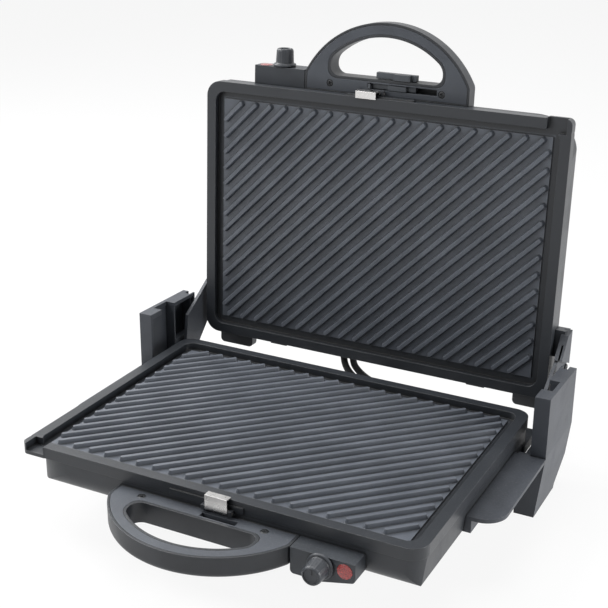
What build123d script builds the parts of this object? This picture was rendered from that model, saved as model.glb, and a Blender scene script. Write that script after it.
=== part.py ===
from build123d import *
from math import cos, pi, radians, sin, sqrt, tan
import os

os.makedirs("parts", exist_ok=True)

# A double contact grill that opens past upright: two halves of one design face each other.
# Each half has its own frame: x across, y towards the hinge, w out of the cooking face,
# with the origin at the middle of the ribbed field and w = 0 at the rib tops.

# Cast plate
field_width = 294.0
field_depth = 200.0
gutter_width = 6.4
rim_flat = 8.6
rim_corner = 13.0
rim_top = 1.0
groove_depth = 3.2
gutter_depth = 5.0
plate_underside = 8.0
rib_pitch = 10.0
rib_base_width = 5.2
rib_slope = 20.0
rib_end_margin = 1.0
rib_least_length = 12.0
spout_width = 24.0
spout_reach = 0.6
spout_corner_radius = 5.0
spout_wall = 4.0
front_tab_width = 60.0
front_tab_reach = 1.0
rear_tab_width = 16.0
rear_tab_reach = 2.5
rear_tab_left = 100.0
rear_tab_right = 88.0
tab_height = 5.0

# Tray shell under the plate
shell_inset = 0.8
shell_wall = 2.5
shell_depth = 32.0
shell_end_rounding = 15.0
shell_side_rounding = 5.0
shell_draft = 4.5
spout_corner = 38.0
heel_width = 34.0
heel_inset = 0.2
heel_height = 8.0
heel_reach = 20.0
boss_radius = 6.0
boss_x = 92.0
boss_y = 52.0

# Heating element, reflector and terminal block
element_radius = 3.2
element_x = 112.0
element_y = 62.0
element_tail_x = 18.0
element_tail_gap = 30.2
element_bend = 15.0
element_gap = 0.1
reflector_width = 250.0
reflector_depth = 150.0
reflector_sheet = 0.8
reflector_corner = 10.0
terminal_width = 52.0
terminal_depth = 14.0

# D-shaped handle
handle_half_width = 73.5
handle_reach = 59.5
handle_top = 12.0
handle_thickness = 16.0
handle_side = 12.0
handle_corner = 8.0
handle_rounding = 4.0
handle_root = 16.0
opening_half_width = 50.0
opening_near = 13.5
opening_far = 47.8
opening_corner = 8.0
opening_side = 8.4
opening_end_radius = 12.0
cover_sheet = 3.0
cover_rim = 1.8
cover_inner_rim = 2.0
cover_ledge = 1.5
cover_seam = 0.25
cover_root_gap = 0.4
handle_floor = 3.0
cover_screw_x = 50.0
cover_screw_reach = 6.5
cover_boss_radius = 3.8
screw_head_radius = 3.0
screw_head_height = 1.2
screw_radius = 1.6
screw_length = 10.0

# Swinging latch hook in the lid handle and its catch slot in the lower handle
latch_x = 24.0
latch_depth = 17.2
latch_arm_thickness = 5.0
latch_arm_length = 38.7
latch_barb = 4.0
latch_barb_height = 2.2
latch_head_near = 5.0
latch_head_far = 21.0
latch_head_rise = 5.7
latch_shaft_radius = 2.0
latch_running_gap = 0.05
latch_side_gap = 0.5
slot_near = 5.0
slot_far = 9.9
latch_slot_left = 15.5
latch_slot_right = 46.0
catch_slot_left = 0.0
catch_slot_right = 28.5
lever_near = 14.0
lever_far = 19.0
lever_length = 33.0
lever_tab_start = 2.0
lever_tab_end = 16.0
lever_tab_rise = 6.0

# Control box, thermostat, knob and lamp beside each handle
box_left = 74.0
box_right = 122.0
box_reach = 15.2
box_low = 32.0
box_low_outer = 26.0
box_wall = 2.0
box_corner = 3.0
knob_x = 97.0
knob_depth = 19.5
knob_skirt_radius = 9.75
knob_skirt_height = 2.5
knob_radius = 7.75
knob_tip_radius = 7.25
knob_length = 15.0
knob_recess_radius = 5.4
knob_recess_depth = 1.0
knob_gap = 0.3
knob_shaft_radius = 3.0
knob_shaft_gap = 0.05
knob_shaft_engagement = 9.0
thermostat_width = 26.0
thermostat_depth = 20.0
thermostat_height = 14.0
thermostat_bush_radius = 4.5
thermostat_wall_gap = 1.0
lamp_x = 114.4
lamp_depth = 19.0
lamp_radius = 5.6
lamp_dome = 0.8
lamp_stem_radius = 4.6
lamp_stem_length = 8.0

# Spring clip that holds the plate down
clip_x = 10.5
clip_width = 18.0
clip_sheet = 0.9
clip_pin_radius = 1.2
clip_curl_radius = 1.9
clip_pin_gap = 0.05
clip_pin_reach = 3.1
clip_pin_depth = 8.0
clip_lip = 5.0
clip_lug_width = 3.0
clip_side_gap = 0.3

# Stand: columns, shelves and feet
stand_height = 70.0
column_front = 77.0
column_rear = 148.5
column_arm_gap = 0.3
column_cover = 4.7
column_foot_inset = 5.7
column_headroom = 6.9
column_top_drop = 2.0
column_wall = 2.6
column_waist = 17.0
column_step_width = 9.7
column_step_front_top = 27.0
column_step_rear_top = 50.0
column_step_split = 118.0
column_chamfer_top = 46.0
column_chamfer_foot = 130.0
column_foot_height = 4.0
notch_front = 94.0
notch_rear = 114.5
notch_wall = 3.7
rear_notch_front = 142.0
rear_notch_inset = 1.5
rear_notch_width = 5.0
guide_rib = 2.0
guide_gap = 0.15
shelf_top = 17.0
shelf_sheet = 3.0
shelf_front = -30.0
shelf_overhang = 0.3
shelf_width = 29.0
shelf_corner = 18.0
shelf_flange_depth = 13.0
shelf_flange_width = 8.0
shelf_end_gap = 0.1
foot_x = 118.0
foot_y = -36.0
foot_radius = 15.0
foot_tip_radius = 12.0
pad_radius = 10.0
pad_height = 3.0

# Lid hinge and arms
closed_gap = 4.0
lid_lean = 2.626
hinge_y = 129.3
hinge_z = -16.5
hinge_pin_radius = 4.0
hinge_running_gap = 0.05
hinge_head_radius = 6.0
hinge_head_height = 2.0
hinge_lift = 28.0
slider_inset = 1.0
slider_width = 6.5
slider_half_depth = 12.5
slider_above = 12.0
slider_below = 16.0
slider_collar_radius = 7.0
arm_shell_gap = 5.3
arm_sheet = 3.0
arm_boss_radius = 9.0
arm_box_width = 6.7
arm_side_gap = 0.2
arm_cover_wall = 2.0
arm_screw_radius = 3.0
arm_screw_height = 1.6

# Two leads between the halves
lead_radius = 3.0
lead_x = 23.0
lead_spacing = 9.0
lead_exit_run = 10.0
lead_lid_run = 8.0
lead_depth = 14.0
grommet_radius = 5.6
grommet_height = 2.0
grommet_stem = 4.2
inlet_x = -70.0
inlet_depth = 15.5
inlet_radius = 6.5
inlet_stem_radius = 5.0
inlet_bore_radius = 3.6
inlet_flange = 1.8

# Outlines of the lid arms at rest, as (depth, height) from the lower half's origin
arm_outline = [(121, -13), (126, 17.5), (165, 41.5), (166, 53), (182, 50), (178, 14), (160, 2),
               (137, -21)]
arm_seat_outline = [(165, 30), (165, 41.5), (166, 53), (182, 50), (179, 26)]
arm_box_outline = [(149, 33.6), (163.5, 50.7), (175, 52), (173.5, 23)]
arm_box_hollow = [(145, 33.9), (163.9, 48.7), (173, 50), (171.6, 26)]
arm_screw_spots = [(177.8, 42), (175, 18)]
lead_points = [(13, 140, -18.5), (-3, 153, -22.5), (-16, 160.5, -20)]

# Sizes that follow from the ones above
rim_width = field_width + 2 * (gutter_width + rim_flat)
rim_depth = field_depth + 2 * (gutter_width + rim_flat)
half_front = -rim_depth / 2
half_back = rim_depth / 2
shell_width = rim_width - 2 * shell_inset
shell_length = rim_depth - 2 * shell_inset
wall_front = half_front + shell_inset
wall_back = half_back - shell_inset
heel_outer = shell_width / 2 - heel_inset
heel_inner = heel_outer - heel_width
element_tail_y = wall_back - element_tail_gap
element_depth = plate_underside + element_radius + element_gap
reflector_base = element_depth + element_radius
cover_screw_spots = [(side * cover_screw_x, half_front - cover_screw_reach) for side in (-1, 1)]
arm_inner = shell_width / 2 + arm_shell_gap
arm_limit = arm_inner + arm_box_width
column_inner = arm_limit + column_arm_gap
column_step_inner = column_inner - column_step_width
slider_inner = column_inner + slider_inset
slider_outer = slider_inner + slider_width
column_outer = slider_outer + column_cover
column_top = hinge_z + slider_above + hinge_lift + column_headroom + column_wall
column_top_rear = column_top - column_top_drop
column_foot_outer = column_outer - column_foot_inset
notch_outer = column_outer - notch_wall
rear_notch_inner = column_inner + rear_notch_inset
rear_notch_outer = rear_notch_inner + rear_notch_width
shelf_outer = column_outer + shelf_overhang
shelf_inner = shelf_outer - shelf_width
shelf_flange_outer = shelf_inner + shelf_flange_width
handle_tip = half_front - handle_reach
handle_bottom = handle_top + handle_thickness
hinge_swing = 90 + lid_lean


def lid_point(y, w):
    """World-side (y, z) of a lid point, both measured from the lower half's origin."""
    closed_y = y - hinge_y
    closed_z = closed_gap - w - hinge_z
    swing = radians(-hinge_swing)
    turned_y = closed_y * cos(swing) - closed_z * sin(swing)
    turned_z = closed_y * sin(swing) + closed_z * cos(swing)
    return hinge_y + turned_y, hinge_z + turned_z


# The part's origin lies on the table, in the middle of the overall depth
lid_back, _ = lid_point(half_front - box_reach, -box_low)
origin_y = -(handle_tip + lid_back) / 2

lower = Plane(origin=(0, origin_y, stand_height), x_dir=(1, 0, 0), z_dir=(0, 0, 1))
lid_y, lid_z = lid_point(0, 0)
lid_normal = (0, sin(radians(-hinge_swing)), -cos(radians(-hinge_swing)))
lid = Plane(origin=(0, origin_y + lid_y, stand_height + lid_z), x_dir=(-1, 0, 0), z_dir=lid_normal)
halves = {"lower": lower, "lid": lid}


def facing_front(half, y):
    """Plane across a half at y: sketch x is x, sketch y is w, and it looks away from the hinge."""
    return Plane(origin=half.from_local_coords((0, y, 0)), x_dir=half.x_dir, z_dir=-half.y_dir)


def facing_side(half, x):
    """Plane along a half at x: sketch x is y, sketch y is w, and it looks along x."""
    return Plane(origin=half.from_local_coords((x, 0, 0)), x_dir=half.y_dir, z_dir=half.x_dir)


def rectangle_between(low, high, mode=Mode.ADD):
    """Rectangle in the sketch from one corner to the other."""
    middle = ((low[0] + high[0]) / 2, (low[1] + high[1]) / 2)
    with Locations(middle):
        Rectangle(high[0] - low[0], high[1] - low[1], mode=mode)


def finish(part, name):
    """Label a finished piece and write it."""
    part.label = name
    export_step(part, f"parts/{name}.step")


def shell_block(half, inset, top):
    """Solid with the tray's outer shape, shrunk by inset, with its flat top at -top."""
    bottom = shell_depth - inset
    height = bottom - top
    with BuildPart() as block:
        with BuildSketch(half.offset(-top)) as plan:
            widening = 2 * (plate_underside - top) * tan(radians(shell_draft))
            Rectangle(shell_width + widening - 2 * inset, shell_length - 2 * inset)
            spout_side = (-shell_width / 2, -shell_length / 2)
            fillet(plan.vertices().sort_by_distance(spout_side)[1:], rim_corner - inset)
            fillet(plan.vertices().sort_by_distance(spout_side)[0], spout_corner - inset)
        extrude(amount=-height)
        with BuildSketch(facing_side(half, 0)) as ends:
            rectangle_between((wall_front + inset, -bottom), (wall_back - inset, -top))
            fillet(ends.vertices().group_by(Axis.Y)[0], shell_end_rounding - inset)
        extrude(amount=shell_width, both=True, mode=Mode.INTERSECT)
        with BuildSketch(facing_front(half, 0)) as sides:
            draft = tan(radians(shell_draft))
            top_half = shell_width / 2 - inset + (plate_underside - top) * draft
            bottom_half = top_half - height * draft
            Polygon((-top_half, -top), (-bottom_half, -bottom), (bottom_half, -bottom),
                    (top_half, -top), align=None)
            fillet(sides.vertices().group_by(Axis.Y)[0], shell_side_rounding - inset)
        extrude(amount=shell_length, both=True, mode=Mode.INTERSECT)
    return block.part


def rib_spans():
    """Middle and length of each 45 degree rib that crosses the field."""
    diagonal = rib_pitch * sqrt(2)
    count = int((field_width + field_depth) / 2 / diagonal)
    half_x = field_width / 2 - rib_end_margin
    half_y = field_depth / 2 - rib_end_margin
    spans = []
    for index in range(-count, count + 1):
        shift = index * diagonal
        start = max(-half_x, -half_y + shift)
        end = min(half_x, half_y + shift)
        length = (end - start) * sqrt(2)
        if length > rib_least_length:
            middle = (start + end) / 2
            spans.append((middle, middle - shift, length))
    return spans


def make_plate(half, name):
    """Cast plate: rim with spout and lugs, gutter, raised field and diagonal ribs."""
    gutter_x = field_width + 2 * gutter_width
    gutter_y = field_depth + 2 * gutter_width
    spout_x = -rim_width / 2 + spout_width / 2
    with BuildPart() as plate:
        with BuildSketch(half.offset(-plate_underside)):
            RectangleRounded(rim_width, rim_depth, rim_corner)
        extrude(amount=plate_underside + rim_top)
        with BuildSketch(half.offset(-plate_underside)):
            with Locations((spout_x, half_front + rim_corner / 2)):
                RectangleRounded(spout_width, rim_corner + 2 * spout_reach, spout_corner_radius)
        extrude(amount=plate_underside + rim_top)
        with BuildSketch(half.offset(-plate_underside)):
            with Locations((0, half_front)):
                Rectangle(front_tab_width, 2 * front_tab_reach)
            with Locations((-rear_tab_left, half_back), (rear_tab_right, half_back)):
                Rectangle(rear_tab_width, 2 * rear_tab_reach)
        extrude(amount=tab_height)
        with BuildSketch(half.offset(-gutter_depth)):
            RectangleRounded(gutter_x, gutter_y, rim_corner - rim_flat / 2)
            with Locations((spout_x, half_front)):
                Rectangle(spout_width - 2 * spout_wall, 2 * rim_flat + gutter_width)
        extrude(amount=gutter_depth + rim_top, mode=Mode.SUBTRACT)
        with BuildSketch(half.offset(-gutter_depth)):
            Rectangle(field_width, field_depth)
        extrude(amount=gutter_depth - groove_depth)
        with BuildSketch(half.offset(-groove_depth)):
            for x, y, length in rib_spans():
                with Locations(Location((x, y), 45)):
                    SlotOverall(length, rib_base_width)
        extrude(amount=groove_depth, taper=rib_slope)
    finish(plate.part, name)


def make_shell(half, name):
    """Tray shell with hinge-side heels, reflector bosses, clip lugs and its openings."""
    lug_low = clip_pin_depth + clip_curl_radius
    lug_height = 2 * clip_curl_radius
    pin_y = half_front - clip_pin_reach
    with BuildPart() as shell:
        add(shell_block(half, 0, plate_underside))
        with BuildSketch(half.offset(-shell_depth)):
            for side in (-1, 1):
                middle = side * (heel_inner + heel_outer) / 2
                with Locations((middle, half_back + (heel_reach - shell_end_rounding) / 2)):
                    RectangleRounded(heel_outer - heel_inner, heel_reach + shell_end_rounding,
                                     heel_height / 2)
        extrude(amount=heel_height)
        add(shell_block(half, shell_wall, plate_underside), mode=Mode.SUBTRACT)
        boss_base = shell_depth - shell_wall / 2
        with BuildSketch(half.offset(-boss_base)):
            with GridLocations(2 * boss_x, 2 * boss_y, 2, 2):
                Circle(boss_radius)
        extrude(amount=boss_base - reflector_base - reflector_sheet)
        with BuildSketch(half.offset(-lug_low)):
            lug_offset = clip_width / 2 + clip_side_gap + clip_lug_width / 2
            with Locations((clip_x - lug_offset, (pin_y + wall_front) / 2),
                           (clip_x + lug_offset, (pin_y + wall_front) / 2)):
                Rectangle(clip_lug_width, wall_front - pin_y + 2 * clip_curl_radius)
        extrude(amount=lug_height)
        with BuildSketch(half.offset(-plate_underside)):
            RectangleRounded(rim_width, rim_depth + 2 * front_tab_reach, rim_corner)
        extrude(amount=plate_underside, mode=Mode.SUBTRACT)
        with BuildSketch(facing_side(half, clip_x)):
            with Locations((pin_y, -clip_pin_depth)):
                Circle(clip_pin_radius)
        extrude(amount=clip_width, both=True, mode=Mode.SUBTRACT)
        with BuildSketch(facing_front(half, half_front + shell_end_rounding)):
            with Locations((knob_x, -knob_depth)):
                Circle(thermostat_bush_radius)
            with Locations((lamp_x, -lamp_depth)):
                Circle(lamp_stem_radius)
        extrude(amount=shell_end_rounding, mode=Mode.SUBTRACT)
        with BuildSketch(facing_front(half, half_back)):
            with Locations((lead_x, -lead_depth)):
                SlotOverall(lead_spacing + 2 * grommet_stem, 2 * grommet_stem)
            if half is lower:
                with Locations((inlet_x, -inlet_depth)):
                    Circle(inlet_stem_radius)
        extrude(amount=shell_end_rounding, mode=Mode.SUBTRACT)
    finish(shell.part, name)


def make_element(half, name):
    """Tubular heating element bent in one loop, with both cold ends near the hinge side."""
    route = [(-element_tail_x, element_tail_y), (-element_tail_x, element_y),
             (-element_x, element_y), (-element_x, -element_y), (element_x, -element_y),
             (element_x, element_y), (element_tail_x, element_y), (element_tail_x, element_tail_y)]
    with BuildPart() as element:
        with BuildLine(half.offset(-element_depth)) as path:
            FilletPolyline(*route, radius=element_bend)
        with BuildSketch(Plane(origin=path.wire() @ 0, z_dir=path.wire() % 0)):
            Circle(element_radius)
        sweep()
    finish(element.part, name)


def make_reflector(half, name):
    """Folded aluminium tray that carries the element, notched for its cold ends."""
    height = reflector_base - plate_underside
    with BuildPart() as reflector:
        with BuildSketch(half.offset(-reflector_base - reflector_sheet)):
            RectangleRounded(reflector_width, reflector_depth, reflector_corner)
        extrude(amount=height + reflector_sheet)
        with BuildSketch(half.offset(-reflector_base)):
            RectangleRounded(reflector_width - 2 * reflector_sheet,
                             reflector_depth - 2 * reflector_sheet,
                             reflector_corner - reflector_sheet)
        extrude(amount=height, mode=Mode.SUBTRACT)
        with BuildSketch(half.offset(-reflector_base)):
            with Locations((-element_tail_x, reflector_depth / 2),
                           (element_tail_x, reflector_depth / 2)):
                Rectangle(3 * element_radius, 4 * reflector_sheet)
        extrude(amount=height, mode=Mode.SUBTRACT)
        with BuildSketch(half.offset(-reflector_base)):
            with GridLocations(2 * boss_x, 2 * boss_y, 2, 2):
                Circle(screw_radius)
        extrude(amount=-reflector_sheet, mode=Mode.SUBTRACT)
    finish(reflector.part, name)


def make_reflector_screws(half, name):
    """Four screws that hold the reflector to the shell's bosses."""
    with BuildPart() as screws:
        with BuildSketch(half.offset(-reflector_base)):
            with GridLocations(2 * boss_x, 2 * boss_y, 2, 2):
                Circle(screw_head_radius)
        extrude(amount=screw_head_height)
        with BuildSketch(half.offset(-reflector_base)):
            with GridLocations(2 * boss_x, 2 * boss_y, 2, 2):
                Circle(screw_radius)
        extrude(amount=-reflector_sheet)
    finish(screws.part, name)


def make_terminal_block(half, name):
    """Ceramic terminal block that takes the element's cold ends."""
    base = shell_depth - shell_wall
    with BuildPart() as block:
        with BuildSketch(half.offset(-base)):
            with Locations((0, element_tail_y + terminal_depth / 2)):
                RectangleRounded(terminal_width, terminal_depth, shell_wall)
        extrude(amount=base - element_depth + element_radius)
    finish(block.part, name)


def d_outline(half_width, near, far, side, corner):
    """Face of a D between two reaches from the rim: straight sides, corner arcs, front arc."""
    root_y = half_front - near
    side_y = half_front - side
    tip_y = half_front - far
    rise = far - side
    front_radius = (half_width ** 2 + rise ** 2 - 2 * half_width * corner) / (2 * (rise - corner))
    lean_x = half_width - corner
    lean_y = front_radius - rise
    share = front_radius / (front_radius - corner)
    joint = (lean_x * share, tip_y + front_radius - lean_y * share)
    with BuildLine(mode=Mode.PRIVATE) as edge:
        Line((0, root_y), (half_width, root_y))
        Line((half_width, root_y), (half_width, side_y))
        bend = TangentArc((half_width, side_y), joint, tangent=(0, -1))
        TangentArc(joint, (0, tip_y), tangent=bend % 1)
        mirror(about=Plane.YZ)
    make_face(edge.edges())


def opening_outline(spread):
    """Hand opening of a handle, grown by spread."""
    with BuildSketch() as opening:
        d_outline(opening_half_width + spread, opening_near - spread, opening_far + spread,
                  opening_near + opening_side, opening_end_radius + spread)
        root_corners = opening.vertices().group_by(Axis.Y)[-1].filter_by(lambda v: abs(v.X) > 1)
        fillet(root_corners, opening_corner)
    return opening.sketch


def handle_outline(inset, root):
    """Outer shape of a handle, shrunk by inset, reaching back by root."""
    with BuildSketch() as outline:
        d_outline(handle_half_width - inset, -root, handle_reach - inset,
                  handle_side, handle_corner - inset)
    return outline.sketch


def make_handle_body(half, name):
    """Handle body: D-shaped trough that fits the shell's front, with a recess for its cover."""
    floor = handle_bottom - handle_floor
    cover_base = handle_top + cover_sheet
    with BuildPart() as body:
        with BuildSketch(half.offset(-handle_bottom)):
            add(handle_outline(0, handle_root))
            add(opening_outline(0), mode=Mode.SUBTRACT)
        extrude(amount=handle_thickness)
        up = Axis(half.origin, half.z_dir)
        bottom_edges = body.faces().sort_by(up)[0].outer_wire().edges()
        fillet(bottom_edges.filter_by(GeomType.LINE, reverse=True), handle_rounding)
        with BuildSketch(half.offset(-cover_base)):
            add(handle_outline(cover_rim, -cover_root_gap))
            add(opening_outline(cover_inner_rim), mode=Mode.SUBTRACT)
        extrude(amount=cover_sheet, mode=Mode.SUBTRACT)
        with BuildSketch(half.offset(-floor)) as trough:
            add(handle_outline(cover_rim + cover_ledge, -cover_root_gap))
            add(opening_outline(cover_inner_rim + cover_ledge - cover_root_gap), mode=Mode.SUBTRACT)
            with Locations(*cover_screw_spots):
                Circle(cover_boss_radius, mode=Mode.SUBTRACT)
        extrude(amount=floor - cover_base, mode=Mode.SUBTRACT)
        with BuildSketch(half.offset(-cover_base)):
            with Locations(*cover_screw_spots):
                Circle(screw_radius)
        extrude(amount=-screw_length, mode=Mode.SUBTRACT)
        if half is lid:
            with BuildSketch(facing_front(half, half_front - slot_near)):
                with Locations((-latch_x, -latch_depth)):
                    Circle(latch_shaft_radius + latch_running_gap)
            extrude(amount=opening_near, mode=Mode.SUBTRACT)
        add(shell_block(half, 0, 0), mode=Mode.SUBTRACT)
    finish(body.part, name)


def make_handle_cover(half, name):
    """Handle cover let into the body, with the latch slot or the catch slot."""
    if half is lid:
        slot_left = -latch_slot_right
        slot_right = latch_slot_left
    else:
        slot_left = catch_slot_left
        slot_right = catch_slot_right
    with BuildPart() as cover:
        with BuildSketch(half.offset(-handle_top - cover_sheet)):
            add(handle_outline(cover_rim + cover_seam, -cover_root_gap - cover_seam))
            add(opening_outline(cover_inner_rim + cover_seam), mode=Mode.SUBTRACT)
            slot_front = half_front - slot_far
            slot_back = half_front - slot_near
            rectangle_between((slot_left, slot_front), (slot_right, slot_back), Mode.SUBTRACT)
            with Locations(*cover_screw_spots):
                Circle(screw_radius, mode=Mode.SUBTRACT)
        extrude(amount=cover_sheet)
        with BuildSketch(half.offset(-handle_top)):
            with Locations(*cover_screw_spots):
                Circle(screw_head_radius)
        extrude(amount=-screw_head_height, mode=Mode.SUBTRACT)
    finish(cover.part, name)


def make_handle_screws(half, name):
    """Two screws that hold the handle cover."""
    with BuildPart() as screws:
        with BuildSketch(half.offset(-handle_top - screw_head_height)):
            with Locations(*cover_screw_spots):
                Circle(screw_head_radius)
        extrude(amount=screw_head_height)
        with BuildSketch(half.offset(-handle_top - screw_head_height)):
            with Locations(*cover_screw_spots):
                Circle(screw_radius)
        extrude(amount=-screw_length)
    finish(screws.part, name)


def make_control_box(half, name):
    """Control box beside the handle, open towards the shell, with knob and lamp holes."""
    with BuildPart() as box:
        with BuildSketch(facing_front(half, half_front + shell_end_rounding)) as front:
            Polygon((box_left, -handle_top), (box_left, -box_low), (knob_x, -box_low),
                    (box_right, -box_low_outer), (box_right, -handle_top), align=None)
            fillet(front.vertices().group_by(Axis.Y)[:2], box_corner)
        extrude(amount=shell_end_rounding + box_reach)
        with BuildSketch(facing_front(half, half_front + shell_end_rounding)):
            offset(front.sketch_local, amount=-box_wall)
        extrude(amount=shell_end_rounding + box_reach - box_wall, mode=Mode.SUBTRACT)
        with BuildSketch(facing_front(half, half_front)):
            with Locations((knob_x, -knob_depth)):
                Circle(thermostat_bush_radius)
            with Locations((lamp_x, -lamp_depth)):
                Circle(lamp_stem_radius)
        extrude(amount=box_reach, mode=Mode.SUBTRACT)
        add(shell_block(half, 0, 0), mode=Mode.SUBTRACT)
    finish(box.part, name)


def make_thermostat(half, name):
    """Thermostat behind the control box, with its bush and turning shaft."""
    body_front = wall_front + shell_end_rounding / 2 + thermostat_wall_gap
    box_front = half_front - box_reach
    with BuildPart() as thermostat:
        with BuildSketch(facing_front(half, body_front + thermostat_depth)) as body:
            with Locations((knob_x, -knob_depth)):
                RectangleRounded(thermostat_width, thermostat_height, box_corner)
        extrude(amount=thermostat_depth)
        with BuildSketch(facing_front(half, body_front)):
            with Locations((knob_x, -knob_depth)):
                Circle(thermostat_bush_radius)
        extrude(amount=body_front - box_front)
        with BuildSketch(facing_front(half, box_front)):
            with Locations((knob_x, -knob_depth)):
                Circle(knob_shaft_radius)
        extrude(amount=knob_gap + knob_shaft_engagement)
    finish(thermostat.part, name)


def make_knob(half, name):
    """Thermostat knob: skirt, slightly tapered grip, recessed end and shaft bore."""
    start = half_front - box_reach - knob_gap
    with BuildPart() as knob:
        with BuildSketch(facing_front(half, start)):
            with Locations((knob_x, -knob_depth)):
                Circle(knob_skirt_radius)
        extrude(amount=knob_skirt_height)
        with BuildSketch(facing_front(half, start - knob_skirt_height)):
            with Locations((knob_x, -knob_depth)):
                Circle(knob_radius)
        with BuildSketch(facing_front(half, start - knob_length)):
            with Locations((knob_x, -knob_depth)):
                Circle(knob_tip_radius)
        loft()
        with BuildSketch(facing_front(half, start - knob_length)):
            with Locations((knob_x, -knob_depth)):
                Circle(knob_recess_radius)
        extrude(amount=-knob_recess_depth, mode=Mode.SUBTRACT)
        with BuildSketch(facing_front(half, start)):
            with Locations((knob_x, -knob_depth)):
                Circle(knob_shaft_radius + knob_shaft_gap)
        extrude(amount=knob_shaft_engagement + knob_gap, mode=Mode.SUBTRACT)
    finish(knob.part, name)


def make_lamp(half, name):
    """Pilot lamp lens: domed cap outside the box, stem and holder inside it."""
    face = half_front - box_reach
    dome_radius = (lamp_radius ** 2 + lamp_dome ** 2) / (2 * lamp_dome)
    middle = half.from_local_coords((lamp_x, face, -lamp_depth))
    lens_plane = Plane(origin=middle, x_dir=half.x_dir, z_dir=-half.y_dir)
    with BuildPart() as lamp:
        with BuildSketch(lens_plane):
            Circle(lamp_radius)
        extrude(amount=lamp_dome)
        with Locations(lens_plane.offset(lamp_dome - dome_radius)):
            Sphere(dome_radius, mode=Mode.INTERSECT)
        with BuildSketch(lens_plane):
            Circle(lamp_stem_radius)
        extrude(amount=-lamp_stem_length)
    finish(lamp.part, name)


def make_clip(half, name):
    """Spring clip: curl round the pin, blade up the rim's front, lip over the rim."""
    pin_y = half_front - clip_pin_reach
    blade_y = pin_y - clip_curl_radius
    lip_top = rim_top + 2 * clip_side_gap + clip_sheet
    with BuildPart() as clip:
        with BuildSketch(facing_side(half, clip_x - clip_width / 2)):
            with Locations((pin_y, -clip_pin_depth)):
                Circle(clip_curl_radius)
            rectangle_between((blade_y, -clip_pin_depth), (blade_y + clip_sheet, lip_top))
            rectangle_between((blade_y, lip_top - clip_sheet), (blade_y + clip_sheet + clip_lip, lip_top))
            with Locations((pin_y, -clip_pin_depth)):
                Circle(clip_pin_radius + clip_pin_gap, mode=Mode.SUBTRACT)
        extrude(amount=clip_width)
    finish(clip.part, name)


def make_clip_pin(half, name):
    """Pin held in the shell's two lugs, on which the clip turns."""
    reach = clip_width / 2 + clip_side_gap + clip_lug_width
    with BuildPart() as pin:
        with BuildSketch(facing_side(half, clip_x - reach)):
            with Locations((half_front - clip_pin_reach, -clip_pin_depth)):
                Circle(clip_pin_radius)
        extrude(amount=2 * reach)
    finish(pin.part, name)


def make_grommet(half, name):
    """Rubber grommet in the hinge-side wall that the two leads come out of."""
    with BuildPart() as grommet:
        with BuildSketch(facing_front(half, wall_back + grommet_height)):
            with Locations((lead_x, -lead_depth)):
                SlotOverall(lead_spacing + 2 * grommet_radius, 2 * grommet_radius)
        extrude(amount=grommet_height)
        with BuildSketch(facing_front(half, wall_back)):
            with Locations((lead_x, -lead_depth)):
                SlotOverall(lead_spacing + 2 * grommet_stem, 2 * grommet_stem)
        extrude(amount=shell_wall)
    finish(grommet.part, name)


def stand_side(x):
    """Plane at x: sketch x is depth and sketch y is height over the lower half's rib tops."""
    return Plane(origin=(x, origin_y, stand_height), x_dir=(0, 1, 0), z_dir=(1, 0, 0))


def slab_across(side, inner, outer, outline, mode=Mode.ADD):
    """Slab between two distances from the middle plane, on the side given by +1 or -1."""
    with BuildSketch(stand_side(side * inner), mode=Mode.PRIVATE) as profile:
        Polygon(*outline, align=None)
    extrude(profile.sketch, amount=side * (outer - inner), mode=mode)


def box_across(side, inner, outer, low, high, mode=Mode.ADD):
    """Block between two distances from the middle plane and two (depth, height) corners."""
    outline = [low, (high[0], low[1]), high, (low[0], high[1])]
    slab_across(side, inner, outer, outline, mode)


def rod_across(side, inner, outer, radius, middle, mode=Mode.ADD):
    """Rod along x between two distances from the middle plane."""
    with BuildSketch(stand_side(side * inner), mode=Mode.PRIVATE) as section:
        with Locations(middle):
            Circle(radius)
    extrude(section.sketch, amount=side * (outer - inner), mode=mode)


def make_latch(half, name):
    """Latch hook: arm with its barb, head, shaft through the handle wall and thumb lever."""
    half_arm = latch_arm_thickness / 2
    near = half_front - slot_near - latch_side_gap
    far = half_front - slot_far + latch_side_gap
    tip = -latch_x + latch_arm_length
    barb_top = -latch_depth + half_arm + latch_barb
    with BuildPart() as latch:
        with BuildSketch(facing_front(half, near)):
            rectangle_between((-latch_x - half_arm, -latch_depth - half_arm),
                              (tip, -latch_depth + half_arm))
            rectangle_between((tip - latch_barb_height, -latch_depth), (tip, barb_top))
            rectangle_between((-latch_x + latch_head_near, -latch_depth),
                              (-latch_x + latch_head_far, -latch_depth + latch_head_rise))
        extrude(amount=near - far)
        with BuildSketch(facing_front(half, far)):
            with Locations((-latch_x, -latch_depth)):
                Circle(latch_shaft_radius)
        extrude(amount=lever_near - slot_far + latch_side_gap)
        with BuildSketch(facing_front(half, half_front - lever_near)):
            rectangle_between((-latch_x - half_arm, -latch_depth - half_arm),
                              (-latch_x + lever_length, -latch_depth + half_arm))
            rectangle_between((-latch_x + lever_tab_start, -latch_depth),
                              (-latch_x + lever_tab_end, -latch_depth + lever_tab_rise))
        extrude(amount=lever_far - lever_near)
    finish(latch.part, name)


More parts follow.
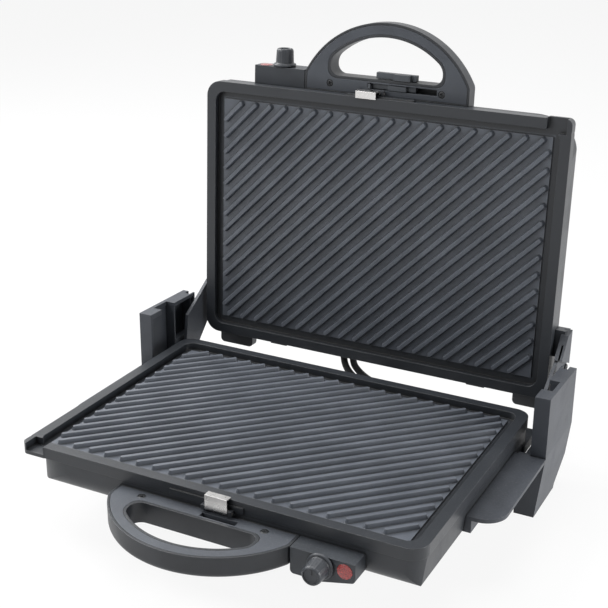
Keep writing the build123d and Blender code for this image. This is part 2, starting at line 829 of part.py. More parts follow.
def column_taper(side, inset):
    """Wedge outside the tapering outer face of a column, moved in by inset."""
    front = Plane(origin=(0, origin_y + column_front, stand_height), x_dir=(1, 0, 0), z_dir=(0, -1, 0))
    with BuildPart() as wedge:
        with BuildSketch(front):
            Polygon((side * (column_outer - inset), 2 * column_top),
                    (side * (column_outer - inset), -column_waist),
                    (side * (column_foot_outer - inset), -stand_height),
                    (side * 2 * column_outer, -stand_height),
                    (side * 2 * column_outer, 2 * column_top), align=None)
        extrude(amount=column_rear, both=True)
    return wedge.part


def column_hollow(side):
    """Space inside a column, open towards the plates."""
    floor = -stand_height + column_foot_height + column_wall
    front = column_front + column_wall
    rear = column_rear - column_wall
    with BuildPart() as hollow:
        slab_across(side, column_inner - column_wall, column_outer, [
            (front, column_top_rear - column_wall), (rear, column_top_rear - column_wall),
            (rear, -column_chamfer_top), (column_chamfer_foot - column_wall, floor), (front, floor)])
        box_across(side, 0, column_inner, (front, -column_waist), (rear, column_top), Mode.SUBTRACT)
        box_across(side, column_step_inner, column_inner, (front, floor),
                   (column_chamfer_foot - column_wall, -column_step_rear_top - column_wall))
        box_across(side, column_step_inner, column_inner,
                   (front, -column_step_rear_top - column_wall),
                   (column_step_split - column_wall, -column_step_front_top - column_wall))
        box_across(side, column_inner - column_wall, column_inner, (front, -column_step_front_top),
                   (rear, -column_waist))
        box_across(side, column_inner - column_wall, column_inner, (front, -column_waist),
                   (rear, column_top_rear - column_wall))
        add(column_taper(side, column_wall), mode=Mode.SUBTRACT)
    return hollow.part


def make_column(side, name):
    """Column with its inward foot, top notches, guide ribs and the slider's stop."""
    ceiling = column_top_rear - column_wall
    stop_top = hinge_z - slider_below
    front_rib = hinge_y - slider_half_depth - guide_gap - guide_rib
    rear_rib = hinge_y + slider_half_depth + guide_gap
    with BuildPart() as column:
        slab_across(side, column_inner, column_outer, [
            (column_front, column_top), (column_rear, column_top_rear),
            (column_rear, -column_chamfer_top),
            (column_chamfer_foot, -stand_height + column_foot_height),
            (column_chamfer_foot, -stand_height), (column_front, -stand_height)])
        slab_across(side, column_step_inner, column_inner, [
            (column_front, -column_waist), (column_front + column_wall, -column_waist),
            (column_front + column_wall, -column_step_front_top),
            (column_step_split, -column_step_front_top),
            (column_step_split, -column_step_rear_top), (column_rear, -column_step_rear_top),
            (column_chamfer_foot, -stand_height + column_foot_height),
            (column_chamfer_foot, -stand_height), (column_front, -stand_height)])
        add(column_hollow(side), mode=Mode.SUBTRACT)
        for rib_y in (front_rib, rear_rib):
            box_across(side, slider_inner, column_outer, (rib_y, stop_top - guide_rib),
                       (rib_y + guide_rib, ceiling))
        box_across(side, slider_inner, column_outer, (front_rib, stop_top - guide_rib),
                   (rear_rib + guide_rib, stop_top))
        box_across(side, column_inner, notch_outer, (notch_front, ceiling),
                   (notch_rear, column_top), Mode.SUBTRACT)
        box_across(side, rear_notch_inner, rear_notch_outer, (rear_notch_front, ceiling),
                   (column_rear, column_top), Mode.SUBTRACT)
        add(column_taper(side, 0), mode=Mode.SUBTRACT)
    finish(column.part, name)


def make_shelf(side, name):
    """Side shelf in front of a column, with its flange along the shell."""
    with BuildPart() as shelf:
        with BuildSketch(lower.offset(-shelf_top)) as top:
            middle_y = (shelf_front + column_front - shelf_end_gap) / 2
            with Locations((side * (shelf_inner + shelf_outer) / 2, middle_y)):
                Rectangle(shelf_outer - shelf_inner, column_front - shelf_end_gap - shelf_front)
            fillet(top.vertices().sort_by_distance((side * shelf_outer, shelf_front))[0], shelf_corner)
        extrude(amount=-shelf_sheet)
        box_across(side, shelf_inner, shelf_flange_outer,
                   (shelf_front, -shelf_top - shelf_flange_depth),
                   (column_front - shelf_end_gap, -shelf_top))
        add(shell_block(lower, 0, 0), mode=Mode.SUBTRACT)
    finish(shelf.part, name)


def make_slider(side, name):
    """Slider block in a column that carries a hinge pin up and down."""
    with BuildPart() as slider:
        box_across(side, slider_inner, slider_outer,
                   (hinge_y - slider_half_depth, hinge_z - slider_below),
                   (hinge_y + slider_half_depth, hinge_z + slider_above))
        rod_across(side, arm_limit, slider_inner, slider_collar_radius, (hinge_y, hinge_z))
        rod_across(side, arm_limit, slider_outer, hinge_pin_radius, (hinge_y, hinge_z), Mode.SUBTRACT)
    finish(slider.part, name)


def make_hinge_pin(side, name):
    """Headed pin fixed in a slider, on which a lid arm turns."""
    head_end = arm_inner - arm_side_gap
    with BuildPart() as pin:
        rod_across(side, head_end - hinge_head_height, head_end, hinge_head_radius, (hinge_y, hinge_z))
        rod_across(side, head_end, slider_outer, hinge_pin_radius, (hinge_y, hinge_z))
    finish(pin.part, name)


def make_arm(side, name):
    """Lid arm: plate with pivot boss, seat on the lid's side and, on the right, its box cover."""
    arm_outer = arm_inner + arm_sheet
    pivot = (hinge_y, hinge_z)
    with BuildPart() as arm:
        slab_across(side, arm_inner, arm_outer, arm_outline)
        rod_across(side, arm_inner, arm_limit - arm_side_gap, arm_boss_radius, pivot)
        slab_across(side, shelf_inner, arm_inner, arm_seat_outline)
        if side > 0:
            slab_across(side, arm_inner, arm_limit - arm_side_gap, arm_box_outline)
            slab_across(side, arm_outer, arm_limit - arm_side_gap - arm_cover_wall,
                        arm_box_hollow, Mode.SUBTRACT)
        rod_across(side, arm_inner, arm_limit, hinge_pin_radius + hinge_running_gap, pivot, Mode.SUBTRACT)
        add(shell_block(lid, 0, 0), mode=Mode.SUBTRACT)
    finish(arm.part, name)


def make_arm_screws(side, name):
    """Screw heads that hold an arm to the lid's side."""
    arm_outer = arm_inner + arm_sheet
    with BuildPart() as screws:
        for spot in arm_screw_spots:
            rod_across(side, arm_outer, arm_outer + arm_screw_height, arm_screw_radius, spot)
    finish(screws.part, name)


def make_feet():
    """Pair of front feet under the lower shell and their rubber pads."""
    leg_top = lower.offset(-shell_depth)
    leg_bottom = lower.offset(-stand_height + pad_height)
    with BuildPart() as feet:
        for side in (-1, 1):
            with BuildSketch(leg_top):
                with Locations((side * foot_x, foot_y)):
                    Circle(foot_radius)
            with BuildSketch(leg_bottom):
                with Locations((side * foot_x, foot_y)):
                    Circle(foot_tip_radius)
            loft()
    finish(feet.part, "front_feet")
    with BuildPart() as pads:
        with BuildSketch(lower.offset(-stand_height)):
            with Locations((-foot_x, foot_y), (foot_x, foot_y)):
                Circle(pad_radius)
        extrude(amount=pad_height)
    finish(pads.part, "foot_pads")


def make_inlet():
    """Rubber bush of the mains inlet in the lower shell's rear wall."""
    with BuildPart() as inlet:
        with BuildSketch(facing_front(lower, wall_back + inlet_flange)):
            with Locations((inlet_x, -inlet_depth)):
                Circle(inlet_radius)
        extrude(amount=inlet_flange)
        with BuildSketch(facing_front(lower, wall_back)):
            with Locations((inlet_x, -inlet_depth)):
                Circle(inlet_stem_radius)
        extrude(amount=2 * shell_wall)
        with BuildSketch(facing_front(lower, wall_back + inlet_flange)):
            with Locations((inlet_x, -inlet_depth)):
                Circle(inlet_bore_radius)
        extrude(amount=inlet_flange + 2 * shell_wall, mode=Mode.SUBTRACT)
    finish(inlet.part, "inlet_bush")


def lead_radii(points):
    """Largest tangent radius at each corner of a lead's route, and print it."""
    radii = []
    for before, corner, after in zip(points, points[1:], points[2:]):
        incoming = Vector(*corner) - Vector(*before)
        outgoing = Vector(*after) - Vector(*corner)
        half_turn = radians(incoming.get_angle(outgoing)) / 2
        radii.append(0.45 * min(incoming.length, outgoing.length) / tan(half_turn))
    print("lead radii", [round(radius, 1) for radius in radii])
    return radii


def make_leads():
    """Two sleeved leads from the lower grommet to the lid grommet, side by side."""
    exit_y = wall_back + grommet_height
    lid_exit_y, lid_exit_z = lid_point(exit_y, -lead_depth)
    lid_run_y, lid_run_z = lid_point(exit_y + lead_lid_run, -lead_depth)
    first = [(lead_x, exit_y, -lead_depth), (lead_x, exit_y + lead_exit_run, -lead_depth)]
    last = [(-lead_x, lid_run_y, lid_run_z), (-lead_x, lid_exit_y, lid_exit_z)]
    for lead_name, side in (("left_lead", -1), ("right_lead", 1)):
        apart = side * lead_spacing / 2
        askew = apart / sqrt(2)
        route = [(x + apart, y, z) for x, y, z in first]
        route += [(x + askew, y + askew, z) for x, y, z in lead_points]
        route += [(x + apart, y, z) for x, y, z in last]
        points = [(x, y + origin_y, z + stand_height) for x, y, z in route]
        with BuildPart() as lead:
            with BuildLine() as path:
                FilletPolyline(*points, radius=lead_radii(points))
            with BuildSketch(Plane(origin=path.wire() @ 0, z_dir=path.wire() % 0)):
                Circle(lead_radius)
            sweep()
        expected = pi * lead_radius ** 2 * path.wire().length
        print(lead_name, "volume", round(lead.part.volume), "expected", round(expected))
        finish(lead.part, lead_name)


half_pieces = {
    "plate": make_plate,
    "shell": make_shell,
    "element": make_element,
    "reflector": make_reflector,
    "reflector_screws": make_reflector_screws,
    "terminal_block": make_terminal_block,
    "handle_body": make_handle_body,
    "handle_cover": make_handle_cover,
    "handle_screws": make_handle_screws,
    "control_box": make_control_box,
    "thermostat": make_thermostat,
    "knob": make_knob,
    "pilot_lamp": make_lamp,
    "plate_clip": make_clip,
    "clip_pin": make_clip_pin,
    "grommet": make_grommet,
}
for half_name, half_plane in halves.items():
    for piece_name, make_piece in half_pieces.items():
        make_piece(half_plane, f"{half_name}_{piece_name}")

make_latch(lid, "latch_hook")
for side_name, side_sign in (("left", -1), ("right", 1)):
    make_column(side_sign, f"{side_name}_column")
    make_shelf(side_sign, f"{side_name}_shelf")
    make_slider(side_sign, f"{side_name}_slider")
    make_hinge_pin(side_sign, f"{side_name}_hinge_pin")
    make_arm(side_sign, f"{side_name}_arm")
    make_arm_screws(side_sign, f"{side_name}_arm_screws")
make_feet()
make_inlet()
make_leads()
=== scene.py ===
"""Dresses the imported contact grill: finishes, small turned pieces, leads, light and camera."""
import logging
import math
from dataclasses import dataclass, field
from enum import Enum
from typing import Iterable, Sequence

import bmesh
import bpy
from mathutils import Matrix, Vector


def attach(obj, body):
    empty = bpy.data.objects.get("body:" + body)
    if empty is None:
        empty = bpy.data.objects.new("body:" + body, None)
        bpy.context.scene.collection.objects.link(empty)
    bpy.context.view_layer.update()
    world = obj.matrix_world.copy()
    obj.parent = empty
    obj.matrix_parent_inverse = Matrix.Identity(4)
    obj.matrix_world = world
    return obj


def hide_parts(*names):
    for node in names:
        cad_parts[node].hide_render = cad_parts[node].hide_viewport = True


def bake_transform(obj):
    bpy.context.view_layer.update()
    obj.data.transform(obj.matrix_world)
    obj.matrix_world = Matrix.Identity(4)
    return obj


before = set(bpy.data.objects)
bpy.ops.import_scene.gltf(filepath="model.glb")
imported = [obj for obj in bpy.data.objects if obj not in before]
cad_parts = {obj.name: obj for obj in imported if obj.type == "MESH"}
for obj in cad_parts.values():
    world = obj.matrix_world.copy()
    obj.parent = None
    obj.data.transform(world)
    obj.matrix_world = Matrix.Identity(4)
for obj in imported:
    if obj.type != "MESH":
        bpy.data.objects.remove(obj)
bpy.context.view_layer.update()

log = logging.getLogger("grill")
MM = 0.001

Colour = tuple[float, float, float]
Point = tuple[float, float, float]
Socket = bpy.types.NodeSocket
Group = bpy.types.NodeTree
Node = bpy.types.Node
Material = bpy.types.Material
Piece = bpy.types.Object

# Painted shade: near-black colour laid into grooves, seams and inner corners where shade falls.
PAINTED_SHADE_COLOUR: Colour = (0.003, 0.0035, 0.004)
DUST_COLOUR: Colour = (0.3, 0.3, 0.3)


class Side(Enum):
    """Left or right of the grill, as seen from the front."""

    LEFT = -1
    RIGHT = 1


@dataclass(frozen=True)
class Half:
    """One half of the grill with its own frame: x across, y to the hinge, w out of the plate."""

    name: str
    body: str
    origin: Point
    x_dir: Point
    y_dir: Point
    normal: Point

    def direction(self, x: float, y: float, w: float) -> Vector:
        """Turn a direction in the half's frame into the row frame."""
        return Vector(self.x_dir) * x + Vector(self.y_dir) * y + Vector(self.normal) * w

    def place(self, x: float, y: float, w: float) -> Vector:
        """Turn a point in the half's frame, in millimetres, into the row frame, in metres."""
        return (Vector(self.origin) + self.direction(x, y, w)) * MM


# Origins are in millimetres. The lid leans 2.626 degrees past upright.
LOWER = Half("lower", "base", (0, -9.567, 70), (1, 0, 0), (0, 1, 0), (0, 0, 1))
LID = Half("lid", "lid", (0, 146.135, 181.725), (-1, 0, 0), (0, -0.045816, -0.99895),
           (0, -0.99895, 0.045816))
HALVES = (LOWER, LID)


class NodeBoard:
    """Adds and joins the nodes of one node tree."""

    def __init__(self, tree: Group) -> None:
        """Keep the tree that the nodes go into."""
        self.tree = tree

    def add(self, kind: str, inputs: dict | None = None, **settings: object) -> Node:
        """Add a node and set its properties and inputs.

        Args:
            kind: Blender's name for the node type.
            inputs: Values or sockets for the node's inputs, by name or number.
            settings: Properties of the node itself.

        Returns:
            The new node.
        """
        node = self.tree.nodes.new(kind)
        for name, value in settings.items():
            setattr(node, name, value)
        for key, value in (inputs or {}).items():
            self.feed(node.inputs[key], value)
        return node

    def feed(self, target: Socket, value: object) -> None:
        """Join a socket to the target, or set the target's own value.

        Args:
            target: The input to feed.
            value: A socket to join, or a plain value.
        """
        if isinstance(value, Socket):
            self.tree.links.new(value, target)
        else:
            target.default_value = value

    def math(self, operation: str, first: object, second: object = 0.0) -> Socket:
        """Return the result of a Math node over two values or sockets."""
        node = self.add("ShaderNodeMath", {0: first, 1: second}, operation=operation)
        return node.outputs[0]

    def ramp(self, value: object, low: float, high: float) -> Socket:
        """Return a smooth mask that goes from 0 at low to 1 at high."""
        node = self.add("ShaderNodeMapRange", {"Value": value, "From Min": low, "From Max": high},
                        interpolation_type="SMOOTHSTEP")
        return node.outputs["Result"]

    def blend(self, share: object, first: object, second: object) -> Socket:
        """Mix two colours by a share. Each may be a value or a socket.

        Args:
            share: How much of the second colour shows, from 0 to 1.
            first: The colour at a share of 0.
            second: The colour at a share of 1.

        Returns:
            The mixed colour.
        """
        node = self.add("ShaderNodeMix", data_type="RGBA")
        self.feed(node.inputs[0], share)
        self.feed(node.inputs[6], first)
        self.feed(node.inputs[7], second)
        return node.outputs[2]

    def effect(self, group: Group, **values: float) -> Node:
        """Place a shared group, with this material's own values on its inputs."""
        return self.add("ShaderNodeGroup", values, node_tree=group)


class SharedEffects:
    """The node groups that several finishes use. Each is built once."""

    def __init__(self) -> None:
        """Build every group."""
        self.grain = self._grain()
        self.edges = self._edges()
        self.creases = self._creases()
        self.smudges = self._smudges()
        self.dust = self._dust()
        self.drawn = self._drawn()
        self.braid = self._braid()

    @staticmethod
    def _open(name: str, inputs: dict[str, float], outputs: dict[str, str]
              ) -> tuple[NodeBoard, Node, Node]:
        """Make an empty group with its sockets.

        Args:
            name: The group's name.
            inputs: Default value of each named input.
            outputs: Socket type of each named output.

        Returns:
            The board of the group, its input node and its output node.
        """
        group = bpy.data.node_groups.new(name, "ShaderNodeTree")
        for label, value in inputs.items():
            socket = group.interface.new_socket(label, in_out="INPUT",
                                                socket_type="NodeSocketFloat")
            socket.default_value = value
        for label, kind in outputs.items():
            group.interface.new_socket(label, in_out="OUTPUT", socket_type=kind)
        board = NodeBoard(group)
        return board, board.add("NodeGroupInput"), board.add("NodeGroupOutput")

    def _grain(self) -> Group:
        """Fine moulded or sprayed grain: a height and a slow change of shade.

        Returns:
            The new group.
        """
        board, given, out = self._open("surface_grain", {"Scale": 1500.0, "Coarse": 0.5},
                                       {"Height": "NodeSocketFloat", "Shade": "NodeSocketFloat"})
        place = board.add("ShaderNodeTexCoord").outputs["Object"]
        fine = board.add("ShaderNodeTexNoise", {"Vector": place, "Scale": given.outputs["Scale"],
                                                "Detail": 2.0, "Roughness": 0.6})
        cell_scale = board.math("MULTIPLY", given.outputs["Scale"], 0.6)
        cells = board.add("ShaderNodeTexVoronoi", {"Vector": place, "Scale": cell_scale})
        bumps = board.math("MULTIPLY", cells.outputs["Distance"], given.outputs["Coarse"])
        slow = board.add("ShaderNodeTexNoise", {"Vector": place, "Scale": 38.0, "Detail": 4.0})
        board.feed(out.inputs["Height"], board.math("ADD", fine.outputs["Fac"], bumps))
        board.feed(out.inputs["Shade"], board.ramp(slow.outputs["Fac"], low=0.3, high=0.7))
        return board.tree

    def _edges(self) -> Group:
        """A broken mask of edges where the surface turns within the radius: wear, and a painted
        highlight.

        Returns:
            The new group.
        """
        board, given, out = self._open("edge_wear_and_highlight", {"Radius": 0.0006, "Amount": 0.5},
                                       {"Mask": "NodeSocketFloat"})
        rounded = board.add("ShaderNodeBevel", {"Radius": given.outputs["Radius"]}, samples=4)
        flat = board.add("ShaderNodeNewGeometry").outputs["Normal"]
        same = board.add("ShaderNodeVectorMath", {0: rounded.outputs[0], 1: flat},
                         operation="DOT_PRODUCT").outputs["Value"]
        # Wear and painted highlight: edges where the surface turns sharply are marked for
        # lightening.
        edge = board.ramp(board.math("SUBTRACT", 1.0, same), low=0.02, high=0.25)
        place = board.add("ShaderNodeTexCoord").outputs["Object"]
        broken = board.add("ShaderNodeTexNoise", {"Vector": place, "Scale": 260.0, "Detail": 3.0})
        patchy = board.ramp(broken.outputs["Fac"], low=0.35, high=0.6)
        shown = board.math("MULTIPLY", edge, patchy)
        board.feed(out.inputs["Mask"], board.math("MULTIPLY", shown, given.outputs["Amount"]))
        return board.tree

    def _creases(self) -> Group:
        """Painted shade: an ambient-occlusion mask that darkens grooves, seams and inner corners.

        Returns:
            The new group.
        """
        board, given, out = self._open("painted_crease_shade", {"Reach": 0.003, "Amount": 0.5},
                                       {"Mask": "NodeSocketFloat"})
        # Painted shade: the mask grows where other surfaces lie within reach.
        open_share = board.add("ShaderNodeAmbientOcclusion", {"Distance": given.outputs["Reach"]},
                               samples=6).outputs["AO"]
        closed = board.ramp(board.math("SUBTRACT", 1.0, open_share), low=0.08, high=0.5)
        board.feed(out.inputs["Mask"], board.math("MULTIPLY", closed, given.outputs["Amount"]))
        return board.tree

    def _smudges(self) -> Group:
        """Faint handling marks that change the gloss a little.

        Returns:
            The new group.
        """
        board, given, out = self._open("smudges", {"Scale": 24.0}, {"Mask": "NodeSocketFloat"})
        place = board.add("ShaderNodeTexCoord").outputs["Object"]
        cloud = board.add("ShaderNodeTexNoise", {"Vector": place, "Scale": given.outputs["Scale"],
                                                 "Detail": 5.0, "Roughness": 0.65,
                                                 "Distortion": 0.6})
        board.feed(out.inputs["Mask"], board.ramp(cloud.outputs["Fac"], low=0.42, high=0.72))
        return board.tree

    def _dust(self) -> Group:
        """A trace of dust on faces that look up.

        Returns:
            The new group.
        """
        board, given, out = self._open("settled_dust", {"Amount": 0.1},
                                       {"Mask": "NodeSocketFloat"})
        normal = board.add("ShaderNodeNewGeometry").outputs["Normal"]
        rise = board.add("ShaderNodeSeparateXYZ", {0: normal}).outputs["Z"]
        up = board.ramp(rise, low=0.6, high=1.0)
        place = board.add("ShaderNodeTexCoord").outputs["Object"]
        specks = board.add("ShaderNodeTexNoise", {"Vector": place, "Scale": 900.0, "Detail": 3.0})
        loose = board.ramp(specks.outputs["Fac"], low=0.5, high=0.75)
        shown = board.math("MULTIPLY", up, loose)
        board.feed(out.inputs["Mask"], board.math("MULTIPLY", shown, given.outputs["Amount"]))
        return board.tree

    def _drawn(self) -> Group:
        """Fine lines of rolled or drawn metal along the row's X.

        Returns:
            The new group.
        """
        board, given, out = self._open("drawn_lines", {"Scale": 900.0},
                                       {"Height": "NodeSocketFloat"})
        place = board.add("ShaderNodeTexCoord").outputs["Object"]
        drawn = board.add("ShaderNodeMapping", {"Vector": place, "Scale": (0.03, 1.0, 1.0)})
        lines = board.add("ShaderNodeTexNoise", {"Vector": drawn.outputs[0],
                                                 "Scale": given.outputs["Scale"], "Detail": 3.0})
        board.feed(out.inputs["Height"], lines.outputs["Fac"])
        return board.tree

    def _braid(self) -> Group:
        """Two sets of crossing strands that wind round a sleeve, from its UV map.

        Returns:
            The new group.
        """
        board, given, out = self._open("braid", {"Strands": 16.0, "Pitch": 9.0},
                                       {"Height": "NodeSocketFloat", "Shade": "NodeSocketFloat"})
        uv = board.add("ShaderNodeTexCoord").outputs["UV"]
        split = board.add("ShaderNodeSeparateXYZ", {0: uv})
        across = board.math("MULTIPLY", split.outputs["X"], given.outputs["Strands"])
        along = board.math("MULTIPLY", split.outputs["Y"], given.outputs["Pitch"])
        waves = []
        for combine in ("ADD", "SUBTRACT"):
            turns = board.math("MULTIPLY", board.math(combine, across, along), math.tau / 2)
            waves.append(board.math("ABSOLUTE", board.math("SINE", turns)))
        board.feed(out.inputs["Height"], board.math("MAXIMUM", waves[0], waves[1]))
        board.feed(out.inputs["Shade"], board.math("GREATER_THAN", waves[0], waves[1]))
        return board.tree


@dataclass(frozen=True)
class Finish:
    """A solid finish: fine grain, soft edges with wear and painted highlight, painted crease
    shade, a trace of dust.
    """

    name: str
    colour: Colour
    lighter: Colour
    # Colour of lightened edges: partly wear, partly a painted highlight.
    worn_and_highlit: Colour = (0.11, 0.115, 0.12)
    roughness: float = 0.5
    gloss_change: float = 0.1
    specular: float = 0.35
    metallic: float = 0.0
    coat: float = 0.0
    coat_roughness: float = 0.2
    grain_scale: float = 1500.0
    grain_coarse: float = 0.5
    grain_depth: float = 0.00004
    edge_radius: float = 0.0006
    edge_wear_and_highlight: float = 0.35
    # Reach and strength of the painted shade in creases.
    crease_reach: float = 0.002
    crease: float = 0.75
    dust: float = 0.12

    def build(self, effects: SharedEffects) -> Material:
        """Make the material.

        Args:
            effects: The shared node groups.

        Returns:
            The new material.
        """
        material, board, shader = self.start()
        grain = board.effect(effects.grain, Scale=self.grain_scale, Coarse=self.grain_coarse)
        self.colour_in(board, shader, effects, grain.outputs["Shade"])
        self.gloss_in(board, shader, effects)
        self.relief_in(board, shader, grain.outputs["Height"])
        return material

    def start(self) -> tuple[Material, NodeBoard, Node]:
        """Make a material with its shader, whose constants are set on its own sockets.

        Returns:
            The material, its board and its shader.
        """
        material = bpy.data.materials.new(self.name)
        material.use_nodes = True
        material.node_tree.nodes.clear()
        board = NodeBoard(material.node_tree)
        shader = board.add("ShaderNodeBsdfPrincipled", {
            "Metallic": self.metallic, "Specular IOR Level": self.specular,
            "Coat Weight": self.coat, "Coat Roughness": self.coat_roughness})
        board.add("ShaderNodeOutputMaterial", {"Surface": shader.outputs[0]})
        return material, board, shader

    def colour_in(self, board: NodeBoard, shader: Node, effects: SharedEffects,
                  shade: Socket) -> None:
        """Feed Base Color: two close shades, edges with wear and painted highlight, painted
        crease shade and dust.

        Args:
            board: The material's board.
            shader: The material's shader.
            effects: The shared node groups.
            shade: The slow change between the two shades.
        """
        base = self.shades(board, shade)
        # Edges lightened: partly wear, partly a painted highlight.
        edges = board.effect(effects.edges, Radius=self.edge_radius, Amount=self.edge_wear_and_highlight)
        worn_and_highlit = board.blend(edges.outputs["Mask"], base, (*self.worn_and_highlit, 1))
        # Painted shade: creases darkened towards near black.
        creases = board.effect(effects.creases, Reach=self.crease_reach, Amount=self.crease)
        crease_shaded = board.blend(creases.outputs["Mask"], worn_and_highlit, (*PAINTED_SHADE_COLOUR, 1))
        dust = board.effect(effects.dust, Amount=self.dust)
        board.feed(shader.inputs["Base Color"],
                   board.blend(dust.outputs["Mask"], crease_shaded, (*DUST_COLOUR, 1)))

    def shades(self, board: NodeBoard, shade: Socket) -> Socket:
        """Return the finish's colour: two close shades mixed slowly over the surface."""
        return board.blend(shade, (*self.colour, 1), (*self.lighter, 1))

    def gloss_in(self, board: NodeBoard, shader: Node, effects: SharedEffects) -> None:
        """Feed Roughness: the finish's own value, changed by smudges.

        Args:
            board: The material's board.
            shader: The material's shader.
            effects: The shared node groups.
        """
        smudges = board.effect(effects.smudges)
        spread = board.math("MULTIPLY", smudges.outputs["Mask"], self.gloss_change)
        board.feed(shader.inputs["Roughness"], board.math("ADD", spread, self.roughness))

    def relief_in(self, board: NodeBoard, shader: Node,
                  height: Socket) -> None:
        """Feed Normal: grain over edges that are rounded in the light.

        Args:
            board: The material's board.
            shader: The material's shader.
            height: The height of the grain.
        """
        soft = board.add("ShaderNodeBevel", {"Radius": self.edge_radius}, samples=6)
        bump = board.add("ShaderNodeBump", {"Height": height, "Distance": self.grain_depth,
                                            "Strength": 1.0, "Normal": soft.outputs[0]})
        board.feed(shader.inputs["Normal"], bump.outputs[0])


@dataclass(frozen=True)
class CoatedCasting(Finish):
    """Coated plate: paler over its ribbed field, which is used and wiped, than on its rim."""

    rim: Colour = (0.022, 0.025, 0.030)
    field_half_width: float = 0.147
    field_half_depth: float = 0.100
    field_border: float = 0.002

    def shades(self, board: NodeBoard, shade: Socket) -> Socket:
        """Mix the ribbed field's colour, inside the field of either half, with the rim's.

        Args:
            board: The material's board.
            shade: The slow change between the field's two shades.

        Returns:
            The colour over the plate.
        """
        place = board.add("ShaderNodeTexCoord").outputs["Object"]
        split = board.add("ShaderNodeSeparateXYZ", {0: place})
        spans = ((split.outputs["X"], 0.0, self.field_half_width),
                 (split.outputs["Y"], LOWER.origin[1] * MM, self.field_half_depth),
                 (split.outputs["Z"], LID.origin[2] * MM, self.field_half_depth))
        across, lower_field, lid_field = [self.within(board, *span) for span in spans]
        inside = board.math("MULTIPLY", across, board.math("MAXIMUM", lower_field, lid_field))
        used = board.blend(shade, (*self.colour, 1), (*self.lighter, 1))
        return board.blend(inside, (*self.rim, 1), used)

    def within(self, board: NodeBoard, value: Socket, middle: float,
               reach: float) -> Socket:
        """Return 1 where a coordinate is within reach of a middle, with a soft border."""
        away = board.math("ABSOLUTE", board.math("SUBTRACT", value, middle))
        return board.math("SUBTRACT", 1.0, board.ramp(away, reach, reach + self.field_border))


@dataclass(frozen=True)
class DrawnMetal(Finish):
    """Bright sheet or wire with fine drawn lines."""

    metallic: float = 1.0
    line_scale: float = 900.0

    def build(self, effects: SharedEffects) -> Material:
        """Make the material, with drawn lines in place of grain.

        Args:
            effects: The shared node groups.

        Returns:
            The new material.
        """
        material, board, shader = self.start()
        lines = board.effect(effects.drawn, Scale=self.line_scale)
        self.colour_in(board, shader, effects, lines.outputs["Height"])
        self.gloss_in(board, shader, effects)
        self.relief_in(board, shader, lines.outputs["Height"])
        return material


@dataclass(frozen=True)
class LampLens(Finish):
    """Red pilot lens: clear plastic with facets inside and a faint glow."""

    facet_scale: float = 900.0
    glow: float = 0.05

    def build(self, effects: SharedEffects) -> Material:
        """Make the material, with faceted cells that vary its red.

        Args:
            effects: The shared node groups.

        Returns:
            The new material.
        """
        material, board, shader = self.start()
        place = board.add("ShaderNodeTexCoord").outputs["Object"]
        cells = board.add("ShaderNodeTexVoronoi", {"Vector": place, "Scale": self.facet_scale})
        facet = board.ramp(cells.outputs["Distance"], low=0.1, high=0.8)
        red = board.blend(facet, (*self.colour, 1), (*self.lighter, 1))
        board.feed(shader.inputs["Base Color"], red)
        board.feed(shader.inputs["Emission Color"], red)
        shader.inputs["Emission Strength"].default_value = self.glow
        self.gloss_in(board, shader, effects)
        self.relief_in(board, shader, cells.outputs["Distance"])
        return material


@dataclass(frozen=True)
class BraidedSleeve(Finish):
    """Dark woven sleeve of a lead."""

    strands: float = 16.0
    pitch: float = 9.0
    painted_valley_shade: Colour = (0.004, 0.004, 0.004)

    def build(self, effects: SharedEffects) -> Material:
        """Make the material, with crossing strands from the tube's UV map and painted shade in
        their valleys.

        Args:
            effects: The shared node groups.

        Returns:
            The new material.
        """
        material, board, shader = self.start()
        braid = board.effect(effects.braid, Strands=self.strands, Pitch=self.pitch)
        raised = board.ramp(braid.outputs["Height"], low=0.6, high=1.0)
        strand = board.blend(braid.outputs["Shade"], (*self.colour, 1), (*self.lighter, 1))
        # Painted shade: the valleys between strands are near black.
        board.feed(shader.inputs["Base Color"],
                   board.blend(raised, (*self.painted_valley_shade, 1), strand))
        self.gloss_in(board, shader, effects)
        bump = board.add("ShaderNodeBump", {"Height": braid.outputs["Height"],
                                            "Distance": self.grain_depth, "Strength": 1.0})
        board.feed(shader.inputs["Normal"], bump.outputs[0])
        return material


@dataclass
class Finishes:
    """Every finish of the grill, and the material made from each."""

    effects: SharedEffects
    made: dict[str, Material] = field(default_factory=dict)

    def of(self, finish: Finish) -> Material:
        """Look up the material of a finish, which is made at its first use.

        Args:
            finish: The finish that is wanted.

        Returns:
            Its material.
        """
        if finish.name not in self.made:
            self.made[finish.name] = finish.build(self.effects)
        return self.made[finish.name]


CAST = CoatedCasting("coated_casting", (0.085, 0.095, 0.114), (0.112, 0.124, 0.147),
                     worn_and_highlit=(0.17, 0.18, 0.19), roughness=0.34, gloss_change=0.08, specular=0.5,
                     grain_scale=2200.0, grain_coarse=0.8, grain_depth=0.00005,
                     edge_radius=0.0006, edge_wear_and_highlight=0.3, crease_reach=0.0045, crease=0.95,
                     dust=0.05)
SHELL = Finish("shell_plastic", (0.020, 0.0225, 0.027), (0.026, 0.029, 0.034), roughness=0.4,
               specular=0.45, grain_scale=1800.0, grain_depth=0.00004)
HANDLE = Finish("handle_plastic", (0.018, 0.020, 0.024), (0.024, 0.027, 0.032),
                roughness=0.4, specular=0.45, grain_scale=1900.0, grain_depth=0.00004)
COVER = Finish("cover_plastic", (0.055, 0.061, 0.073), (0.068, 0.076, 0.090),
               roughness=0.46, specular=0.4, grain_scale=1500.0, grain_depth=0.00006)
STAND = Finish("stand_plastic", (0.045, 0.050, 0.060), (0.056, 0.062, 0.074), roughness=0.46,
               specular=0.4, grain_scale=1300.0, grain_depth=0.00007)
